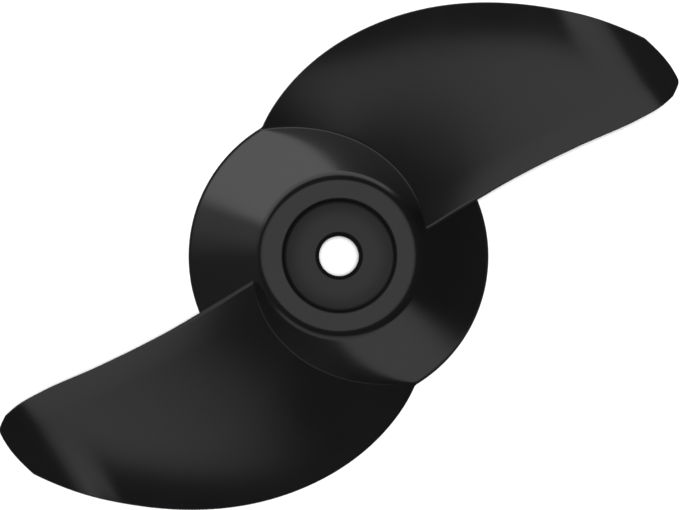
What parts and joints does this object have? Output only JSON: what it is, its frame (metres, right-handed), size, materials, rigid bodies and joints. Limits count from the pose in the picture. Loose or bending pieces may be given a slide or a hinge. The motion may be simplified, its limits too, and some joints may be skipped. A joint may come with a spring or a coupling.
{
  "type": "boat propeller",
  "caption": "Black moulded plastic propeller for an electric outboard, with swept blades on a hollow conical hub and a nut recess.",
  "frame": {"origin": "centre of the hub's wide rim, in the plane that the rim rests on", "axes": "+Z along the shaft axis, from the motor side to the nut side; +X and +Y across it, to the right and up in a view from the nut side"},
  "size_m": [0.2028, 0.152, 0.0394],
  "materials": {
    "black_plastic": "black moulded plastic with a soft satin gloss",
    "inner_black_plastic": "black moulded plastic, duller inside the hub"
  },
  "bodies": {
    "root": {"hub_cone": "black_plastic", "hub_end": "black_plastic", "recess_floor": "black_plastic", "shaft_boss": "inner_black_plastic", "rib_1": "inner_black_plastic", "rib_2": "inner_black_plastic", "rib_3": "inner_black_plastic", "rib_4": "inner_black_plastic", "rib_5": "inner_black_plastic", "rib_6": "inner_black_plastic", "blade_1": "black_plastic", "blade_2": "black_plastic"}
  },
  "joints": []
}
